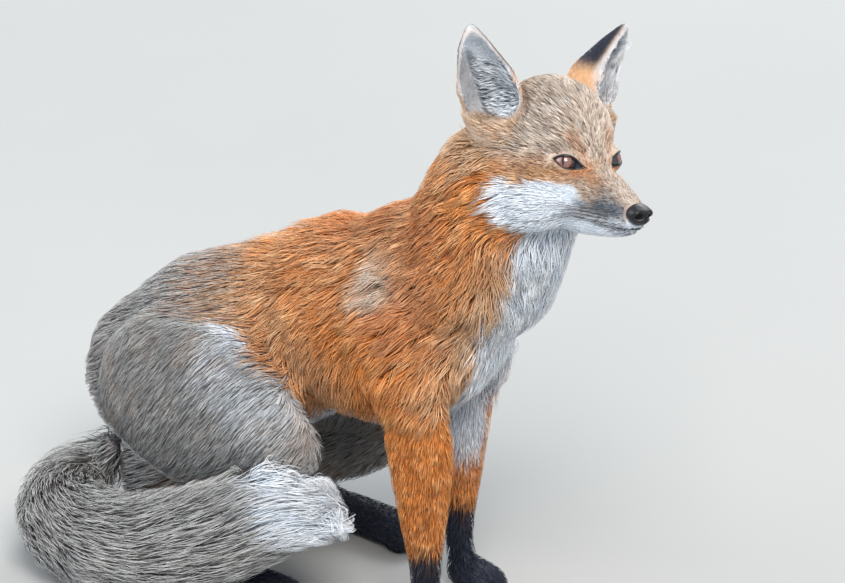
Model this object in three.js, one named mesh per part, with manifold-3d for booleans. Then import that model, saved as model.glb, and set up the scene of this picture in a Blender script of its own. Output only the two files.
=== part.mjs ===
// A red fox at life size, sitting on the floor with its tail laid round its right side.
// Millimetres, +Z up, the fox faces +X and its right side is towards -Y. The shapes are laid
// out from the floor straight below the top of its shoulders, and the last lines move the
// whole figure so that the origin is on the floor under its middle.
import * as THREE from 'three';
import { mergeVertices } from 'three/addons/utils/BufferGeometryUtils.js';
import Module from 'manifold-3d';

const wasm = await Module();
wasm.setup();

// Driving dimensions, measured over the coat.
const trunkLength = 330;        // chest to rump, along the floor
const trunkHalfWidth = 64;
const stance = 44;              // fore feet, from the middle plane
const hindStance = 76;          // hind feet, from the middle plane
const headLength = 180;         // nose tip to the back of the skull
const skullBehind = 65;         // of that, behind the middle of the brain case
const headHalfWidth = 45;       // across the brain case
const cheekHalfWidth = 63;      // across the ruff of the cheeks
const earHeight = 92;
const earHalfWidth = 26.2;
const earSplay = 78.5;          // ear tip, from the middle plane of the head
const leftEarFall = 7;          // the left ear is laid a little lower than the right
const earWall = 5;
const eyeRadius = 9.2;
const tailThickness = 92;
const gap = 0.3;                // left between pieces that touch
const headPlace = new THREE.Vector3(152, 0, 429);
const headTurn = { yaw: -16, pitch: 10, roll: -11.5 };     // degrees

const up = new THREE.Vector3(0, 0, 1);
const ahead = new THREE.Vector3(1, 0, 0);
const at = (x, y, z) => new THREE.Vector3(x, y, z);

// ---- solids ---------------------------------------------------------------------------

// A three.js geometry as a solid that can be joined and cut.
function solid(geometry) {
  const bare = geometry.clone();
  bare.deleteAttribute('normal');
  bare.deleteAttribute('uv');
  const closed = mergeVertices(bare, 1e-4);
  return new wasm.Manifold(new wasm.Mesh({
    numProp: 3,
    vertProperties: Float32Array.from(closed.attributes.position.array),
    triVerts: Uint32Array.from(closed.index.array),
  }));
}

// The cut and joined solid as a three.js geometry again.
function geometryOf(manifold) {
  const mesh = manifold.getMesh();
  const geometry = new THREE.BufferGeometry();
  geometry.setAttribute('position', new THREE.BufferAttribute(mesh.vertProperties, 3));
  geometry.setIndex(new THREE.BufferAttribute(mesh.triVerts, 1));
  geometry.computeVertexNormals();
  return geometry;
}

const join = (...pieces) => pieces.reduce((whole, piece) => whole.add(piece));
const cut = (whole, ...pieces) => pieces.reduce((left, piece) => left.subtract(piece), whole);

// A rounded body drawn along a curve. Each station has a place, a half depth (towards
// facing) and a half width (across it); fullness above 2 squares off the two ends.
function swell(stations, { facing = up, across = 14, along = 9, fullness = 3 }, grow = 0) {
  const line = new THREE.CatmullRomCurve3(stations.map((s) => s.place));
  const girth = new THREE.CatmullRomCurve3(stations.map((s) => at(s.depth, s.width, 0)));
  const geometry = new THREE.SphereGeometry(1, across, along);
  const position = geometry.attributes.position;
  const point = new THREE.Vector3();
  for (let i = 0; i < position.count; i += 1) {
    point.fromBufferAttribute(position, i);
    const pole = Math.sign(point.y) * Math.abs(point.y) ** (2 / fullness);
    const share = Math.min(Math.max((1 - pole) / 2, 0), 1);
    const ring = Math.hypot(point.x, point.z);
    const spread = ring > 1e-6 ? ring ** (2 / fullness) / ring : 0;
    const tangent = line.getTangent(share);
    const depthWay = facing.clone().addScaledVector(tangent, -facing.dot(tangent)).normalize();
    const widthWay = tangent.clone().cross(depthWay);
    const size = girth.getPoint(share);
    const place = line.getPoint(share)
      .addScaledVector(depthWay, point.x * spread * (size.x + grow))
      .addScaledVector(widthWay, point.z * spread * (size.y + grow))
      .addScaledVector(tangent, -point.y * grow);
    position.setXYZ(i, place.x, place.y, place.z);
  }
  return solid(geometry);
}

// An egg: a sphere stretched, turned and set in its place.
function egg(centre, radii, turn = 0, grow = 0, rings = [14, 9]) {
  const geometry = new THREE.SphereGeometry(1, ...rings);
  geometry.scale(radii.x + grow, radii.y + grow, radii.z + grow);
  geometry.rotateY(THREE.MathUtils.degToRad(turn));
  geometry.translate(centre.x, centre.y, centre.z);
  return solid(geometry);
}

const station = (x, y, z, depth, width) => ({ place: at(x, y, z), depth, width });

// Everything below the floor is taken off, which leaves the small flats it rests on.
function onFloor(piece) {
  const below = new THREE.BoxGeometry(2000, 2000, 200);
  below.translate(0, 0, -100);
  return cut(piece, solid(below));
}

// ---- the head, in its own frame: +X to the nose, +Z to the crown ------------------------

const noseAhead = headLength - skullBehind;
const noseRadii = at(9.3, 9.8, 7.8);

function skull(grow) {
  const crown = egg(at(-7, 0, 18), at(58, headHalfWidth, 53), 10, grow, [14, 10]);
  const brow = egg(at(25, 0, 5), at(36, 34, 32), 26, grow, [10, 8]);
  const jowl = egg(at(-12, 0, -18), at(50, 53, 36), 0, grow, [12, 8]);
  return join(crown, brow, jowl, cheek(-1, grow), cheek(1, grow));
}

// The cheek swells back and out into the pointed ruff below the ear.
function cheek(side, grow) {
  const tipOut = cheekHalfWidth * side;
  return swell([
    station(48, 14 * side, -22, 18, 10),
    station(26, 23 * side, -24, 27, 19),
    station(0, 33 * side, -25, 34, 25),
    station(-24, 42 * side, -27, 32, 22),
    station(-44, tipOut * 0.84, -31, 19, 10),
  ], { across: 10, along: 7, fullness: 2.5 }, grow);
}

function muzzle(grow) {
  const tip = noseAhead - 7.5;
  return swell([
    station(30, 0, -10, 30, 27),
    station(50, 0, -14.5, 25, 23.5),
    station(71, 0, -21, 20.5, 19),
    station(90, 0, -25.5, 17, 16.5),
    station(tip, 0, -27, 13.5, 13),
  ], { across: 16, along: 9, fullness: 4.5 }, grow);
}

function jaw(grow) {
  return swell([
    station(14, 0, -38, 14, 25),
    station(42, 0, -38, 11.5, 19),
    station(68, 0, -37.5, 9.2, 14.5),
    station(noseAhead - 17.5, 0, -37.5, 7.8, 11),
  ], { across: 14, along: 8, fullness: 3.5 }, grow);
}

function nose(grow) {
  return egg(at(noseAhead - noseRadii.x, 0, -23), noseRadii, 12, grow, [12, 8]);
}

const eyePlace = (side) => at(38.5, 22 * side, 8.5);

function eye(side, grow) {
  const radii = at(eyeRadius, eyeRadius, eyeRadius);
  return egg(eyePlace(side), radii, 0, grow, [10, 8]);
}

// The ear is a tall pointed cup, open forwards and outwards. Its outside and its hollow
// are the same form, the hollow smaller and further forward.
function earForm(side, { shift = 0, thin = 0, foot = 0, top = 1 }, grow = 0) {
  const open = at(0.76, 0.62 * side, 0.18).normalize();
  const fall = side > 0 ? leftEarFall : 0;
  const line = new THREE.CatmullRomCurve3([
    at(-18, 34 * side, 20),
    at(-23, 49 * side, 50 - fall * 0.3),
    at(-23, 65 * side, 80 - fall * 0.7),
    at(-19, earSplay * side, 20 + earHeight - fall),
  ]);
  const girth = new THREE.CatmullRomCurve3([
    at(27, earHalfWidth * 0.96, 0),
    at(27, earHalfWidth, 0),
    at(18.5, earHalfWidth * 0.75, 0),
    at(4, 4.5, 0),
  ]);
  const stations = [0, 0.25, 0.5, 0.75, 1].map((step) => {
    const share = foot + (top - foot) * step;
    const place = line.getPoint(share).addScaledVector(open, shift);
    const size = girth.getPoint(share);
    return { place, depth: size.x - thin * 0.5, width: size.y - thin };
  });
  return swell(stations, { facing: open, across: 12, along: 8, fullness: 4 }, grow);
}

function ear(side) {
  const hollow = { shift: earWall * 2.2, thin: earWall * 0.7, foot: 0.17, top: 0.95 };
  return cut(earForm(side, {}), earForm(side, hollow));
}

// ---- the body ---------------------------------------------------------------------------

const chestAhead = 106;
const rumpBack = chestAhead - trunkLength - 62;

function neck(grow) {
  return swell([
    station(-40, 0, 262, 74, 54),
    station(8, 0, 281, 78, 58),
    station(60, 0, 306, 73, 59),
    station(92, -2, 350, 71, 57),
    station(109, -6, 394, 72, 55),
    station(124, -12, 454, 67, 50),
  ], { facing: at(-1, 0, 1).normalize(), across: 16, along: 10, fullness: 3.5 }, grow);
}

// The front of the trunk: shoulders, ribs and the deep white-fronted chest.
function chest(grow) {
  const barrel = swell([
    station(chestAhead - 13, 0, 234, 58, 42),
    station(62, 0, 248, 82, 55),
    station(8, 0, 256, 96, trunkHalfWidth - 2),
    station(-48, 0, 240, 92, trunkHalfWidth),
    station(-112, 0, 213, 80, trunkHalfWidth - 3),
  ], { across: 16, along: 9, fullness: 3.5 }, grow);
  return join(barrel, shoulder(-1, grow), shoulder(1, grow));
}

function shoulder(side, grow) {
  return swell([
    station(-14, 36 * side, 306, 38, 24),
    station(20, 43 * side, 268, 50, 26),
    station(40, 46 * side, 224, 46, 25),
    station(46, stance * side, 186, 37, 22),
  ], { facing: ahead, across: 10, along: 7, fullness: 3 }, grow);
}

// The rear of the trunk: loins, belly and the rump that sits low between the haunches.
function loins(grow) {
  const back = swell([
    station(-34, 0, 246, 78, trunkHalfWidth - 5),
    station(-80, 0, 229, 81, trunkHalfWidth - 4),
    station(-118, 0, 211, 80, trunkHalfWidth - 3),
    station(-176, 0, 178, 87, trunkHalfWidth),
    station(-224, 0, 140, 88, trunkHalfWidth),
    station(-258, 0, 104, 79, trunkHalfWidth - 8),
    station(rumpBack + 8, 0, 72, 53, 40),
  ], { across: 16, along: 10, fullness: 3.5 }, grow);
  const seat = egg(at(rumpBack + 62, 0, 58), at(60, 54, 63), 0, grow, [12, 8]);
  return join(back, seat);
}

// How far each fore foot stands behind the chest: the left one is a little further back.
const foreStep = (side) => (side > 0 ? 44 : 14);

// The fore leg from the elbow to the wrist, nearly upright.
function foreleg(side, grow) {
  const back = foreStep(side);
  return swell([
    station(54 - back * 0.6, 45 * side, 214, 36, 20),
    station(62 - back * 0.8, 44 * side, 172, 35, 21.5),
    station(68 - back, stance * side, 132, 25, 18.5),
    station(71 - back, stance * side, 88, 16.5, 14.5),
    station(71 - back, stance * side, 50, 14, 13),
    station(74 - back, stance * side, 22, 15, 14),
  ], { facing: ahead, across: 12, along: 9, fullness: 4 }, grow);
}

function paw(side, grow, back, front, out) {
  const middle = (back + front) / 2;
  return swell([
    station(back, out * side, 15, 14, 13),
    station(middle, out * side, 15, 16.5, 17.5),
    station(front - 12, out * side, 13, 14.5, 19),
    station(front, out * side, 10, 11, 15),
  ], { across: 12, along: 8, fullness: 3 }, grow);
}

function forepaw(side, grow) {
  return paw(side, grow, 60 - foreStep(side), 112 - foreStep(side), stance);
}

// The folded hind leg: a deep thigh, the shank under it, and the long foot flat on the floor.
function haunch(side, grow) {
  return swell([
    station(-262, 46 * side, 112, 44, 26),
    station(-216, 56 * side, 142, 76, 33),
    station(-160, 66 * side, 161, 80, 35),
    station(-106, 71 * side, 160, 63, 34),
    station(-64, 73 * side, 149, 47, 31),
    station(-28, 71 * side, 137, 31, 26),
  ], { across: 16, along: 10, fullness: 3 }, grow);
}

function shank(side, grow) {
  return swell([
    station(-44, 74 * side, 122, 30, 23),
    station(-84, hindStance * side, 90, 30, 22),
    station(-138, hindStance * side, 56, 24, 18),
    station(-190, hindStance * side, 28, 18, 14),
  ], { across: 12, along: 8, fullness: 3 }, grow);
}

function hindfoot(side, grow) {
  return swell([
    station(-198, hindStance * side, 18, 17, 13),
    station(-150, hindStance * side, 17, 18, 14),
    station(-96, hindStance * side, 16, 17, 16),
    station(-62, hindStance * side, 14, 16, 20),
    station(-36, hindStance * side, 10, 11.5, 16),
  ], { across: 12, along: 10, fullness: 3.5 }, grow);
}

// The tail leaves the rump, turns along the right side on the floor, and its white end
// lies over the toes of the right hind foot.
const thick = tailThickness / 2;
const tailStations = [
  station(rumpBack + 30, -8, 76, thick * 0.6, thick * 0.6),
  station(rumpBack - 4, -52, 50, thick * 0.84, thick * 0.82),
  station(rumpBack + 14, -102, thick - 4, thick * 0.94, thick * 0.94),
  station(rumpBack + 64, -132, thick - 3, thick, thick),
  station(-166, -136, thick + 3, thick * 1.05, thick * 1.03),
  station(-106, -119, thick * 1.6, thick * 1.05, thick * 1.02),
  station(-55, -95, thick * 2.2, thick, thick),
  station(0, -73, thick * 2.1, thick * 0.82, thick * 0.8),
];

function tail(grow) {
  return swell(tailStations, { across: 14, along: 18, fullness: 3 }, grow);
}

// All that lies past a cross section of the tail: way is 1 towards the tip, -1 to the root.
function pastTail(share, way) {
  const line = new THREE.CatmullRomCurve3(tailStations.map((s) => s.place));
  const reach = trunkLength * 3;
  const block = new THREE.BoxGeometry(reach, reach, reach);
  block.translate((way * (reach - gap)) / 2, 0, 0);
  block.applyQuaternion(new THREE.Quaternion().setFromUnitVectors(ahead, line.getTangent(share)));
  const middle = line.getPoint(share);
  block.translate(middle.x, middle.y, middle.z);
  return solid(block);
}

// ---- the pieces -------------------------------------------------------------------------

const looks = {
  rufous: [0xc8703a, 0.85], grizzled: [0xb9aa98, 0.88], white: [0xece7dd, 0.85],
  black: [0x1d1b1c, 0.8], nose: [0x141314, 0.4], eye: [0x7a4a2c, 0.15],
};

function mesh(name, shape, look) {
  const [color, roughness] = looks[look];
  const material = new THREE.MeshStandardMaterial({ color, roughness, metalness: 0 });
  const piece = new THREE.Mesh(geometryOf(shape), material);
  piece.name = name;
  return piece;
}

const sides = { right: -1, left: 1 };

const head = new THREE.Group();
head.position.copy(headPlace);
head.rotation.set(
  THREE.MathUtils.degToRad(headTurn.roll),
  THREE.MathUtils.degToRad(-headTurn.pitch),
  THREE.MathUtils.degToRad(headTurn.yaw),
  'ZYX',
);
head.updateMatrix();
const placed = (piece) => piece.transform(head.matrix.elements);

const ears = join(earForm(-1, {}, gap), earForm(1, {}, gap));
const eyes = join(eye(-1, gap), eye(1, gap));
head.add(mesh('head', cut(skull(0), eyes, ears), 'rufous'));
head.add(mesh('muzzle', cut(muzzle(0), skull(gap), eyes, nose(gap)), 'rufous'));
head.add(mesh('jaw', cut(jaw(0), skull(gap), muzzle(gap)), 'white'));
head.add(mesh('nose', nose(0), 'nose'));
for (const [word, side] of Object.entries(sides)) {
  head.add(mesh(`eye_${word}`, eye(side, 0), 'eye'));
  head.add(mesh(`ear_${word}`, ear(side), 'black'));
}

const fox = new THREE.Group();
fox.add(head);
const wholeHead = placed(join(skull(gap), muzzle(gap), jaw(gap), ears));
fox.add(mesh('neck', cut(neck(0), wholeHead), 'rufous'));

const legs = (make) => join(make(-1, gap), make(1, gap));
const haunches = legs(haunch);
const forelegs = legs(foreleg);
fox.add(mesh('chest', cut(chest(0), neck(gap), wholeHead, forelegs, haunches), 'rufous'));
fox.add(mesh('loins', onFloor(cut(loins(0), chest(gap), neck(gap), haunches)), 'rufous'));

const body = join(loins(gap), chest(gap));
for (const [word, side] of Object.entries(sides)) {
  fox.add(mesh(`foreleg_${word}`, cut(foreleg(side, 0), forepaw(side, gap)), 'rufous'));
  fox.add(mesh(`forepaw_${word}`, onFloor(forepaw(side, 0)), 'black'));
  fox.add(mesh(`haunch_${word}`, haunch(side, 0), 'grizzled'));
  const folded = cut(shank(side, 0), haunch(side, gap), body);
  fox.add(mesh(`shank_${word}`, onFloor(cut(folded, hindfoot(side, gap))), 'grizzled'));
  fox.add(mesh(`hindfoot_${word}`, onFloor(hindfoot(side, 0)), 'black'));
}

const rightHind = join(haunch(-1, gap), shank(-1, gap), hindfoot(-1, gap));
const wholeTail = onFloor(cut(tail(0), body, rightHind));
const [first, second, third] = [0.26, 0.5, 0.74];      // where the tail is parted
const tailLengths = {
  tail_root: [pastTail(first, 1)],
  tail_middle: [pastTail(first, -1), pastTail(second, 1)],
  tail_end: [pastTail(second, -1), pastTail(third, 1)],
  tail_tip: [pastTail(third, -1)],
};
for (const [name, rest] of Object.entries(tailLengths)) {
  fox.add(mesh(name, cut(wholeTail, ...rest), name === 'tail_tip' ? 'white' : 'grizzled'));
}

// The origin goes to the floor under the middle of the figure.
const middle = new THREE.Box3().setFromObject(fox, true).getCenter(new THREE.Vector3());
fox.position.set(-middle.x, -middle.y, 0);

export default fox;
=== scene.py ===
import math
from collections import namedtuple

import bmesh
import bpy
import numpy as np
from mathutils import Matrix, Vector
from mathutils.bvhtree import BVHTree
from mathutils.kdtree import KDTree


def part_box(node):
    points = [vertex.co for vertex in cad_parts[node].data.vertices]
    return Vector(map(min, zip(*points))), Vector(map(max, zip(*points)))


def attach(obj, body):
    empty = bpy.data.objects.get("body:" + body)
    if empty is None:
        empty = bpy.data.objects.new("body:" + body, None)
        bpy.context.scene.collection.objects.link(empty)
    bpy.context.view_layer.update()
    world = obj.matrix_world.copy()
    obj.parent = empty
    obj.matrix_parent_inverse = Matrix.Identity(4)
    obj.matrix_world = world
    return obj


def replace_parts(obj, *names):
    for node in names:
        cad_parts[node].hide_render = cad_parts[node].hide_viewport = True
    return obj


# A life-size red fox that sits on the floor, its head up and turned, its tail round its side.
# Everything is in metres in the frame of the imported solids: +X ahead of the fox, +Z up.
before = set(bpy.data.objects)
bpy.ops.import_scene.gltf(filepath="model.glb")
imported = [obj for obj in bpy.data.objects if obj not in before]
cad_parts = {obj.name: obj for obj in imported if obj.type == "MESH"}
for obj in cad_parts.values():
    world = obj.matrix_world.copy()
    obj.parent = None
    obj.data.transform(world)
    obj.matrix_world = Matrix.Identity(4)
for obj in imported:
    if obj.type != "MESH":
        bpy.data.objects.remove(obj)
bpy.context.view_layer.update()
draw = np.random.default_rng(11)

# ---- camera, light and floor ------------------------------------------------------------
# A long lens six metres off, to the right of the fox and above it, looks at its chest. A
# wide soft light hangs above, a weaker one fills from the side, and the floor is pale.
bearing, climb = math.radians(36), math.radians(25)
away = Vector((
    math.sin(bearing) * math.cos(climb),
    -math.cos(bearing) * math.cos(climb),
    math.sin(climb),
))
chest_front = Vector((0.0633, 0.0234, 0.2915))
fox_middle = Vector((0, 0, 0.25))


def in_scene(name, data):
    """A new object of this data, linked into the scene."""
    holder = bpy.data.objects.new(name, data)
    bpy.context.scene.collection.objects.link(holder)
    return holder


lens = bpy.data.cameras.new("camera")
lens.lens, lens.sensor_width = 319.5, 36
lens.clip_end = 40
camera = in_scene("camera", lens)
camera.location = chest_front + away * 6
camera.rotation_euler = (-away).to_track_quat("-Z", "Y").to_euler()
bpy.context.scene.camera = camera


def lamp(name, place, size, power, colour):
    """A square soft light that faces the fox."""
    light = bpy.data.lights.new(name, "AREA")
    light.size, light.energy, light.color = size, power, colour
    holder = in_scene(name, light)
    holder.location = place
    holder.rotation_euler = (fox_middle - place).to_track_quat("-Z", "Y").to_euler()


lamp("light_key", Vector((1.6, -1.6, 3.0)), 1.6, 135, (1.0, 0.95, 0.89))
lamp("light_fill", Vector((-2.2, -1.6, 1.8)), 2.2, 45, (0.94, 0.97, 1.0))
lamp("light_back", Vector((-0.6, 2.6, 2.2)), 1.6, 60, (1.0, 0.99, 0.97))
sky = bpy.data.worlds.new("sky")
sky.use_nodes = True
sky.node_tree.nodes["Background"].inputs["Color"].default_value = (0.82, 0.91, 1.0, 1)
sky.node_tree.nodes["Background"].inputs["Strength"].default_value = 0.85
bpy.context.scene.world = sky
bpy.context.scene.view_settings.view_transform = "Standard"


class Socket:
    """One output in a material's node tree. Arithmetic on it adds Math nodes to the tree."""

    def __init__(self, tree, output=None):
        self.tree, self.output = tree, output

    def node(self, kind, settings=None, inputs=None, pick=0):
        """A node of this kind with its settings and its sockets' values or links."""
        made = self.tree.nodes.new(kind)
        for name, value in (settings or {}).items():
            setattr(made, name, value)
        for name, value in (inputs or {}).items():
            if isinstance(value, Socket):
                self.tree.links.new(value.output, made.inputs[name])
            else:
                made.inputs[name].default_value = value
        return Socket(self.tree, made.outputs[pick])

    def math(self, operation, *others):
        inputs = dict(enumerate((self, *others)))
        return self.node("ShaderNodeMath", {"operation": operation}, inputs)

    def __add__(self, other):
        return self.math("ADD", other)

    def __sub__(self, other):
        return self.math("SUBTRACT", other)

    def __rsub__(self, other):
        return (self * -1).math("ADD", other)

    def __mul__(self, other):
        return self.math("MULTIPLY", other)

    __radd__, __rmul__ = __add__, __mul__

    def place(self):
        """The place of each point on its piece."""
        return self.node("ShaderNodeTexCoord", pick=3)

    def read(self, name, pick=2):
        """What the mesh stores under this name: a number, or with a pick of 1 a vector."""
        return self.node("ShaderNodeAttribute", {"attribute_name": name}, None, pick)

    def noise(self, scale, detail):
        """Even noise that changes about as often in a metre as the scale says."""
        inputs = {"Vector": self, "Scale": scale, "Detail": detail}
        return self.node("ShaderNodeTexNoise", None, inputs)

    def bump(self, strength, distance):
        """A normal tilted by this height."""
        inputs = {"Height": self, "Strength": strength, "Distance": distance}
        return self.node("ShaderNodeBump", None, inputs)

    def between(self, low, high):
        """0 below low, 1 above high, and a smooth slope between them."""
        inputs = {"Value": self, "From Min": low, "From Max": high}
        return self.node("ShaderNodeMapRange", {"interpolation_type": "SMOOTHSTEP"}, inputs)

    def mix(self, first, second):
        """first where this socket is 0 and second where it is 1; both are colours."""
        return self.node("ShaderNodeMix", {"data_type": "RGBA"}, {0: self, 6: first, 7: second}, 2)


def tint(red, green, blue):
    """A colour from its 0-255 screen values."""
    straight = [c / 12.92 if c <= 0.04045 else ((c + 0.055) / 1.055) ** 2.4
                for c in (red / 255, green / 255, blue / 255)]
    return (*straight, 1.0)


def material(name, paint, **fixed):
    """A Principled material: paint(start) gives the changing inputs, fixed the even ones."""
    made = bpy.data.materials.new(name)
    made.use_nodes = True
    shader = made.node_tree.nodes["Principled BSDF"]
    for socket, value in paint(Socket(made.node_tree)).items():
        made.node_tree.links.new(value.output, shader.inputs[socket])
    for socket, value in fixed.items():
        shader.inputs[socket.replace("_", " ")].default_value = value
    return made


def floor_paint(start):
    cloud = start.place().noise(2.0, 3.0)
    return {"Base Color": cloud.mix(tint(166, 166, 164), tint(174, 174, 173))}


def mesh_of(name, shell):
    mesh = bpy.data.meshes.new(name)
    shell.to_mesh(mesh)
    return mesh


sheet = bmesh.new()
bmesh.ops.create_grid(sheet, x_segments=1, y_segments=1, size=8)
floor_mesh = mesh_of("floor", sheet)
floor_mesh.materials.append(material("floor", floor_paint, Roughness=0.9))
in_scene("floor", floor_mesh)

# ---- the head's own frame ---------------------------------------------------------------
# Its origin is in the middle of the brain case, +X towards the nose, +Y to the fox's left
# and +Z to the crown, in millimetres. The eyes and the nose of the solids set it.
eye_ahead, eye_out, eye_up = 38.5, 22.0, 8.5
eye_radius = 9.2
nose_ahead, nose_up = 105.7, -23.0
right_eye, left_eye, nose_middle = (
    np.array(sum(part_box(node), Vector())) / 2 for node in ("eye_right", "eye_left", "nose")
)
between_eyes = (right_eye + left_eye) / 2
to_left = left_eye - right_eye
to_left /= np.linalg.norm(to_left)
to_nose = nose_middle - between_eyes
to_nose -= to_left * (to_nose @ to_left)
to_nose /= np.linalg.norm(to_nose)
over = np.cross(to_nose, to_left)
fall = math.atan2(eye_up - nose_up, nose_ahead - eye_ahead)
head_axes = np.array([
    to_nose * math.cos(fall) + over * math.sin(fall),
    to_left,
    over * math.cos(fall) - to_nose * math.sin(fall),
])
head_origin = between_eyes - (eye_ahead * head_axes[0] + eye_up * head_axes[2]) / 1000


def in_head(places):
    return (places - head_origin) @ head_axes.T * 1000


def in_half_head(places):
    """As in_head, with the right half of the head folded over onto the left."""
    local = in_head(places)
    local[:, 1] = abs(local[:, 1])
    return local


def out_of_head(places):
    return head_origin + places @ head_axes / 1000


def turned_from_head(directions):
    return directions @ head_axes


# ---- the skin ---------------------------------------------------------------------------
# One closed surface over the whole animal. It lies under the solids by the depth of the
# coat: a millimetre or two on the muzzle and feet, and a centimetre and a half on the tail.
Coat = namedtuple("Coat", "depth length width apart lock gather wave cling")
# Millimetres: depth of the coat, length and width of a tuft, distance between tufts and
# size of a lock. Shares: how far a lock draws together, waves, and follows the skin.
coats = {
    "head": Coat(3.0, 11, 0.55, 1.25, 4, 0.4, 0.05, 1.0),
    "muzzle": Coat(1.4, 5, 0.4, 0.88, 2.5, 0.25, 0.0, 1.0),
    "jaw": Coat(1.6, 6.5, 0.5, 1.05, 4, 0.3, 0.0, 1.0),
    "ear": Coat(0.5, 5, 0.45, 1.4, 3, 0.2, 0.0, 1.0),
    "neck": Coat(11, 38, 1.0, 2.1, 8, 0.6, 0.3, 0.88),
    "chest": Coat(10, 38, 1.0, 2.1, 8, 0.6, 0.3, 0.92),
    "loins": Coat(9, 37, 0.9, 2.2, 6, 0.5, 0.15, 0.95),
    "haunch": Coat(8, 23, 0.7, 1.95, 5, 0.4, 0.08, 0.97),
    "shank": Coat(5, 14, 0.95, 2.2, 5, 0.35, 0.06, 0.95),
    "hindfoot": Coat(2.0, 7, 0.85, 2.1, 4, 0.2, 0.0, 1.0),
    "foreleg": Coat(4, 16, 0.75, 1.85, 5, 0.4, 0.05, 1.0),
    "forepaw": Coat(2.0, 6.5, 0.8, 1.9, 4, 0.2, 0.0, 1.0),
    "tail": Coat(15, 38, 0.95, 2.2, 7, 0.35, 0.1, 0.86),
}
nodes = sorted(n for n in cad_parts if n.split("_")[0] in coats)
kinds = [node.split("_")[0] for node in nodes]
coat_of_node = np.array([coats[kind] for kind in kinds], float)


def arrays_of(mesh):
    """The mesh's points, triangles and edges."""
    places = np.empty(len(mesh.vertices) * 3)
    mesh.vertices.foreach_get("co", places)
    mesh.calc_loop_triangles()
    triangles = np.empty(len(mesh.loop_triangles) * 3, int)
    mesh.loop_triangles.foreach_get("vertices", triangles)
    edges = np.empty(len(mesh.edges) * 2, int)
    mesh.edges.foreach_get("vertices", edges)
    return places.reshape(-1, 3), triangles.reshape(-1, 3), edges.reshape(-1, 2)


def normals_of(places, triangles):
    corners = places[triangles]
    faces = np.cross(corners[:, 1] - corners[:, 0], corners[:, 2] - corners[:, 0])
    total = np.zeros_like(places)
    for axis in range(3):
        for corner in range(3):
            total[:, axis] += np.bincount(triangles[:, corner], faces[:, axis], len(places))
    return total / np.maximum(np.linalg.norm(total, axis=1, keepdims=True), 1e-12)


def relaxed(values, edges, steps, share=1.0):
    """Each value drawn towards the mean of its neighbours, several times."""
    values = np.array(values, float).reshape(len(values), -1)
    ends = np.concatenate([edges, edges[:, ::-1]])
    count = np.maximum(np.bincount(ends[:, 0], minlength=len(values)), 1)[:, None]
    for _ in range(steps):
        near = np.stack([
            np.bincount(ends[:, 0], column[ends[:, 1]], len(values)) for column in values.T
        ], axis=1) / count
        values = values + (near - values) * share
    return values


def rounded(places, edges, steps):
    """The places smoothed without the loss of size that plain smoothing brings."""
    for _ in range(steps):
        places = relaxed(places, edges, 1, 0.6)
        places = relaxed(places, edges, 1, -0.62)
    return places


def unit(vectors):
    return vectors / np.maximum(np.linalg.norm(vectors, axis=-1, keepdims=True), 1e-12)


def closed_over(pieces, grain):
    """One mesh of even faces of this size, grown over all of these meshes."""
    shell = bmesh.new()
    for piece in pieces:
        shell.from_mesh(piece)
    bmesh.ops.remove_doubles(shell, verts=shell.verts, dist=1e-5)
    for vertex in shell.verts:
        vertex.co += vertex.normal * 0.0003
    holder = in_scene("shell", mesh_of("shell", shell))
    remesh = holder.modifiers.new("remesh", "REMESH")
    remesh.mode, remesh.voxel_size = "VOXEL", grain
    graph = bpy.context.evaluated_depsgraph_get()
    even = bpy.data.meshes.new_from_object(holder.evaluated_get(graph), depsgraph=graph)
    bpy.data.objects.remove(holder)
    return even


# The fold between the foot of an ear and the neck, in the half head's frame.
ear_fold = np.array([-22, 46, 16])


def shrunk(mesh, depth_of, steps=4):
    """The mesh rounded off and drawn in along its normals by a depth for each point."""
    places, triangles, edges = arrays_of(mesh)
    places = rounded(places, edges, 6)
    to_fold = np.linalg.norm(in_half_head(places) - ear_fold, axis=1)
    places += (relaxed(places, edges, 25) - places) * (1 - ramp(to_fold, 16, 30))[:, None]
    depth = relaxed(depth_of(places), edges, 14)
    for _ in range(steps):
        places = places - normals_of(places, triangles) * depth / steps
        places = relaxed(places, edges, 1, 0.3)
    mesh.vertices.foreach_set("co", places.ravel())
    mesh.update()
    return mesh


def solid_search():
    """A search tree over every solid of flesh, and the solid that each triangle is of."""
    places, triangles, owners = [], [], []
    for index, node in enumerate(nodes):
        points, faces, _ = arrays_of(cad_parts[node].data)
        triangles += (faces + len(places)).tolist()
        places += points.tolist()
        owners += [index] * len(faces)
    return BVHTree.FromPolygons(places, triangles), np.array(owners)


solid_tree, solid_owner = solid_search()


def nearest_node(places):
    found = [solid_tree.find_nearest(place)[2] for place in places]
    return solid_owner[np.array(found)]


def ramp(value, low, high):
    share = np.clip((value - low) / (high - low), 0, 1)
    return share * share * (3 - 2 * share)


def ruff(local):
    """How far a place on the head belongs to the long hair of the cheek and the nape."""
    cheek = ramp(abs(local[:, 1]), 20, 44) * ramp(-local[:, 2], -2, 22) * ramp(-local[:, 0], -34, 2)
    nape = ramp(-local[:, 0], 22, 58)
    return np.maximum(cheek, nape)


# How much deeper the ruff is than the rest of the head's coat, in millimetres.
ruff_depth = 6.5


def coat_depth(places):
    """The depth of the coat, in metres."""
    node = nearest_node(places)
    on_head = np.array(kinds)[node] == "head"
    return (coat_of_node[node, 0] + on_head * ruff(in_head(places)) * ruff_depth) / 1000


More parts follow.
